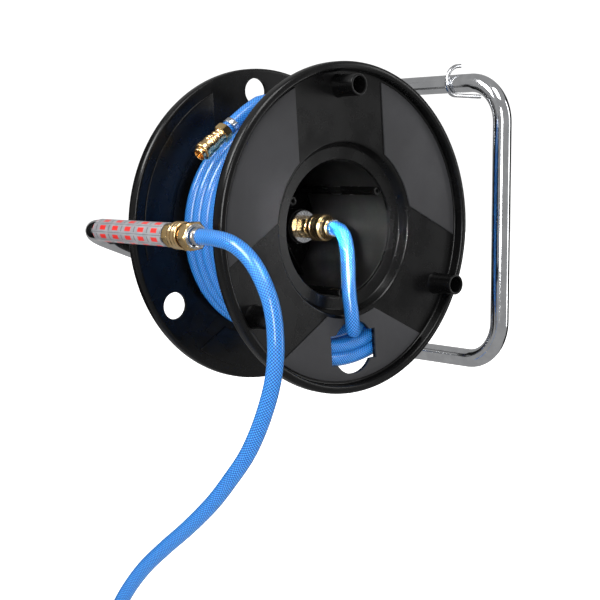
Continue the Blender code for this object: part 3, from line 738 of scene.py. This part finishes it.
def rear_flange():
    disc = lathe([
        (0.0120, -0.0010), (0.0160, -0.0010), (0.0165, -0.0540), (0.0175, -PLATE_BACK),
        *reversed(rim(-1)), (0.0180, -PLATE_FACE), (0.0120, -PLATE_FACE),
    ], 160, 0.0007)
    holes = []
    for angle in ARM_ANGLES:
        tool = lathe([(0.0, -0.050), (0.01225, -0.050), (0.01225, -0.070), (0.0, -0.070)], 48, 0.0)
        tool.transform(Matrix.Translation(on_circle(BOSS_CIRCLE, angle)) @ UP.rotation_difference(OUT)
                       .to_matrix().to_4x4())
        holes.append(tool)
    piece("rear_disc", cut(disc, holes, OUT), GLOSS_BLACK, "drum", AXLE, OUT, ("rear_flange",),
          "black_plastic")
    rows = [(panel_outline(angle, 0.104, PANEL_EDGE), -0.0575, -0.0550) for angle in PANEL_ANGLES]
    panels("rear_panels", rows, GLOSS_BLACK)
    for step in range(6):
        bm = bmesh.new()
        turn = Matrix.Rotation(math.radians(PANEL_ANGLES[0] + 30 + 60 * step), 4, "X")
        bmesh.ops.create_cube(bm, size=1.0, matrix=turn @ Matrix.Translation((-0.0470, 0.0364, 0.0))
                              @ Matrix.Diagonal((0.0205, 0.0420, 0.0022, 1.0)))
        bmesh.ops.bevel(bm, geom=list(bm.edges), offset=0.0004, segments=2, affect="EDGES", profile=0.5)
        piece(f"hub_rib_{step + 1}", mesh_of("rib", bm), GLOSS_BLACK, "drum", AXLE, slot="black_plastic")


def rear_screws():
    """Pan heads with a cross recess, in the rear flange."""
    for number, angle in enumerate(PANEL_ANGLES, 1):
        head = lathe([
            (0.0, 0.0137), (0.0017, 0.0137), (0.0017, 0.0), (0.0036, 0.0), (0.0038, -0.0010),
            (0.0034, -0.0019), (0.0022, -0.0024), (0.0, -0.0025),
        ], 36, 0.0002)
        slots = []
        for size in ((0.0009, 0.0040, 0.0024, 1.0), (0.0040, 0.0009, 0.0024, 1.0)):
            bm = bmesh.new()
            bmesh.ops.create_cube(bm, size=1.0, matrix=Matrix.Translation((0, 0, -0.0026))
                                  @ Matrix.Diagonal(size))
            slots.append(mesh_of("slot", bm))
        spot = AXLE + on_circle(SCREW_CIRCLE, angle, -PLATE_FACE - GAP)
        piece(f"cross_screw_{number}", cut(head, slots, UP), ZINC, "drum", spot,
              OUT, (f"rear_screw_{number}",), "zinc_steel")


def swivel():
    """The brass swivel in the core: the fixed nut and neck, and the ringed body that turns."""
    piece("stator_neck", lathe([
        (0.0032, 0.0310), (0.0055, 0.0310), (0.0060, 0.0305), (0.0060, 0.0290), (0.0046, 0.0290),
        (0.0046, 0.0270), (0.0060, 0.0270), (0.0060, 0.0225), (0.0046, 0.0225), (0.0046, 0.0205),
        (0.0060, 0.0205), (0.0060, 0.0172), (0.0080, 0.0170), (0.0080, 0.0040), (0.0070, 0.0036),
        (0.0070, -0.0110), (0.0032, -0.0110),
    ]), BRASS, "frame", AXLE, OUT, ("swivel_stator",), "brass")
    piece("stator_nut", nut(0.018, 0.0026, 0.0138, 0.0040, 0.3), BRASS_HEX, "frame", AXLE, OUT,
          slot="brass")
    piece("rotor_body", lathe([
        (0.0030, 0.0405), (0.0070, 0.0405), (0.0074, 0.0398), (0.0082, 0.0390), (0.0086, 0.0362),
        (0.0096, 0.0350), (0.0103, 0.0338), (0.0118, 0.0328), (0.0121, 0.0318), (0.0121, 0.0290),
        (0.0116, 0.0284), (0.0116, 0.0277), (0.0121, 0.0271), (0.0121, 0.0246), (0.0114, 0.0240),
        (0.0114, 0.0231), (0.0121, 0.0225), (0.0121, 0.0190), (0.0114, 0.0179), (0.0065, 0.0178),
        (0.0065, 0.0330), (0.0030, 0.0330),
    ], 96, 0.0003), BRASS, "drum", AXLE, OUT, ("swivel_rotor",), "brass")
    wire_clip("hub_wire_clip", AXLE + OUT * 0.0436, OUT, "drum", "hub_hose_clamp")


# Frame side


def rounded_path(corners, radii, steps=20):
    """Centre-line points of a bent tube: each inner corner becomes an arc of its radius."""
    points = [corners[0]]
    for before, corner, after, radius in zip(corners, corners[1:], corners[2:], radii):
        back = (before - corner).normalized()
        ahead = (after - corner).normalized()
        half = back.angle(ahead) / 2
        centre = corner + (back + ahead).normalized() * (radius / math.sin(half))
        start = corner + back * (radius / math.tan(half)) - centre
        axis = back.cross(start)
        for step in range(steps + 1):
            points.append(centre + Matrix.Rotation((math.pi - 2 * half) * step / steps, 3, axis) @ start)
    points.append(corners[-1])
    return points


def tube_frame():
    """The bent chrome tube, hollow at both ends."""
    low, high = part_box("frame_tube")
    wall_y, handle_y = high[1] - TUBE, low[1] + TUBE
    corners = [Vector(point) for point in (
        (0.0446, handle_y, AXLE.z), (-0.0884, handle_y, AXLE.z), (-0.0884, wall_y, low[2] + TUBE),
        (high[0] - TUBE, wall_y, low[2] + TUBE), (high[0] - TUBE, wall_y, high[2] - TUBE),
        (-0.110, wall_y, high[2] - TUBE), (-0.110, AXLE.y, AXLE.z), (0.0022, AXLE.y, AXLE.z),
    )]
    path = rounded_path(corners, (0.030, 0.040, 0.040, 0.040, 0.040, 0.030))
    mesh = tube_mesh(path, TUBE, 48)
    bm = bmesh.new()
    bm.from_mesh(mesh)
    caps = [face for face in bm.faces if len(face.verts) > 4]
    bmesh.ops.inset_individual(bm, faces=caps, thickness=0.0015)
    for face in caps:
        bmesh.ops.translate(bm, verts=face.verts, vec=face.normal * -0.008)
    bm.to_mesh(mesh)
    bm.free()
    mesh.set_sharp_from_angle(angle=math.radians(50))
    piece("chrome_frame", mesh, CHROME, "frame", stands_for=("frame_tube",), slot="chrome_tube")


def printed_sleeve():
    piece("printed_sleeve", lathe([
        (0.0091, 0.0442), (0.0096, 0.0442), (0.0098, 0.0440), (0.0098, -0.0568), (0.0096, -0.0570),
        (0.0091, -0.0570),
    ], 96, 0.0001), FILM, "frame", HANDLE, OUT, ("label_sleeve",), "label_sleeve")


def open_hook():
    """The wall hook: a threaded shank, a half turn under the tube, and a free end that curls back."""
    wire_radius = 0.002
    _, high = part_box("frame_tube")
    wall_y, top_z = high[1] - TUBE, high[2] - TUBE
    bend = TUBE + GAP + wire_radius
    arc = []
    for step in range(9):
        angle = math.radians(270 - 11.25 * step)
        arc.append((0.0, wall_y + bend * math.cos(angle), top_z + bend * math.sin(angle)))
    route = [(0.0, 0.0280, arc[0][2]), (0.0, 0.0120, arc[0][2]), *arc, (0.0, -0.0196, 0.0180),
             (0.0, -0.0160, 0.0240), (0.0, -0.0095, 0.0280), (0.0, -0.0015, 0.0293)]
    bent_tube("hook_wire", smooth_route(route, 0.0015), wire_radius, ZINC, "frame",
              stands_for=("wall_hook",), slot="zinc_steel")
    helix = []
    for step in range(0, 161):
        turn = math.tau * step / 16
        helix.append(Vector((0.00185 * math.cos(turn), 0.0130 + 0.0135 * step / 160,
                             arc[0][2] + 0.00185 * math.sin(turn))))
    bent_tube("hook_thread", helix, 0.0003, ZINC, "frame", slot="zinc_steel")


def supply_coupling():
    """The plug in the handle and the coupling on it; heights are world x."""
    where = {"at": HANDLE, "along": OUT, "slot": "brass"}
    piece("inlet_spigot", lathe([
        (0.0030, 0.0668), (0.0042, 0.0668), (0.0046, 0.0662), (0.0046, 0.0622), (0.0039, 0.0616),
        (0.0039, 0.0590), (0.0048, 0.0582), (0.0048, 0.0530), (0.0070, 0.0530), (0.0070, 0.0330),
        (0.0030, 0.0330),
    ]), BRASS, "frame", stands_for=("inlet_plug",), **where)
    piece("inlet_nut", nut(0.018, 0.0450, 0.0536, 0.0048, 0.2), BRASS_HEX, "frame", **where)
    piece("supply_grip", lathe([
        (0.0099, 0.0660), (0.0106, 0.0660), (0.0113, 0.0652), (0.0113, 0.0638), (0.0107, 0.0631),
        (0.0107, 0.0624), (0.0113, 0.0617), (0.0113, 0.0592), (0.0107, 0.0585), (0.0107, 0.0578),
        (0.0113, 0.0571), (0.0113, 0.0552), (0.0106, 0.0542), (0.0080, 0.0541), (0.0080, 0.0552),
        (0.0099, 0.0565),
    ], 96, 0.0004), BRASS, "supply_sleeve", stands_for=("supply_sleeve",), **where)
    piece("supply_barrel", lathe([
        (0.0035, 0.0798), (0.0066, 0.0798), (0.0066, 0.0780), (0.0095, 0.0775), (0.0095, 0.0662),
        (0.0075, 0.0660), (0.0075, 0.0542), (0.0056, 0.0541), (0.0056, 0.0700), (0.0035, 0.0702),
    ], 72), BRASS, "frame", stands_for=("supply_coupling_body",), **where)
    piece("supply_nut", nut(0.0217, 0.0703, 0.0797, 0.0067, 0.12), BRASS_HEX, "frame", **where)
    piece("supply_ferrule", lathe([
        (0.0067, 0.0800), (0.0098, 0.0800), (0.0100, 0.0798), (0.0100, 0.0794), (0.0067, 0.0794),
    ], 72, 0.0001), ZINC, "frame", at=HANDLE, along=OUT, slot="zinc_steel")
    clamp("supply_clamp_band", Vector((0.0838, HANDLE.y, HANDLE.z)), OUT, "frame", "supply_hose_clamp")


def finish_cad_nodes():
    """Gives every CAD node that still shows a finished material."""
    finishes = {
        "black_plastic": GLOSS_BLACK, "chrome_tube": CHROME, "zinc_steel": ZINC, "brass": BRASS_HEX,
        "blue_hose": HOSE_BLUE, "label_sleeve": FILM, "seal_rubber": RUBBER, "white_acetal": ACETAL,
        "tie_strap": STRAP,
    }
    for row in frame["record"]["subparts"]:
        for slot in frame["nodes"][row["node"]].material_slots:
            slot.material = finishes[row["material_slot"]]


# Stage


def area_light(name, at, target, size, power, spread=180.0):
    data = bpy.data.lights.new(name, "AREA")
    data.shape = "RECTANGLE"
    data.size, data.size_y = size
    data.energy = power
    data.spread = math.radians(spread)
    lamp = bpy.data.objects.new(name, data)
    lamp.location = at
    lamp.rotation_euler = (Vector(at) - Vector(target)).to_track_quat("Z", "Y").to_euler()
    LOOKS.objects.link(lamp)


def dark_card(name, angle, distance, size):
    """A black card that only reflections see, so that the chrome gets its dark streaks."""
    bm = bmesh.new()
    bmesh.ops.create_grid(bm, x_segments=1, y_segments=1, size=0.5)
    bmesh.ops.scale(bm, vec=(size[0], size[1], 1.0), verts=bm.verts)
    made, _, _ = new_material(name, 0.9, Base_Color=(0.01, 0.01, 0.01, 1.0), Specular_IOR_Level=0.0)
    toward = Vector((math.cos(math.radians(angle)), math.sin(math.radians(angle)), 0.0))
    card = bpy.data.objects.new(name, mesh_of(name, bm))
    card.data.materials.append(made)
    card.rotation_euler = toward.to_track_quat("Z", "Y").to_euler()
    card.location = Vector((0.0, -0.15, -0.1)) + toward * distance
    LOOKS.objects.link(card)
    card.visible_camera = card.visible_diffuse = card.visible_shadow = False


def stage():
    bpy.context.scene.view_settings.view_transform = "Standard"
    world = bpy.data.worlds.new("studio")
    bpy.context.scene.world = world
    world.use_nodes = True
    tree = world.node_tree
    rays = tree.nodes.new("ShaderNodeLightPath").outputs
    background = tree.nodes["Background"]
    background.inputs["Color"].default_value = (1.0, 1.0, 1.0, 1.0)
    seen = maths(tree, "MULTIPLY", rays["Is Camera Ray"], 0.5)
    lit = maths(tree, "MULTIPLY_ADD", rays["Is Glossy Ray"], -0.30, 0.62)
    tree.links.new(maths(tree, "ADD", seen, lit), background.inputs["Strength"])
    bm = bmesh.new()
    bmesh.ops.create_circle(bm, cap_ends=True, radius=9.0, segments=64)
    floor = piece("stage_floor", mesh_of("floor", bm), pale_stage(), None, (0.0, 0.0, FLOOR - 0.0005))
    floor.visible_glossy = False
    middle = (0.0, -0.2, -0.12)
    dark_card("card_wall_side", 85.0, 1.6, (1.1, 2.2))
    dark_card("card_left", -165.0, 1.6, (1.0, 2.2))
    area_light("key", (-0.6, -1.7, 1.3), middle, (0.9, 0.9), 34.0)
    area_light("front", (1.5, -1.7, 0.3), middle, (0.5, 1.3), 26.0)
    area_light("above", (0.8, -0.6, 1.6), middle, (0.8, 0.8), 16.0)
    area_light("core", (0.75, -1.05, -0.02), (0.0, -0.152, -0.135), (0.05, 0.05), 0.09, 5.0)
    area_light("wall_side", (1.0, 1.2, 0.2), middle, (0.25, 1.6), 5.0)


place_camera()
supply_hose()
wound_hose()
front_flange()
rear_flange()
rear_screws()
swivel()
tube_frame()
printed_sleeve()
open_hook()
supply_coupling()
finish_cad_nodes()
stage()
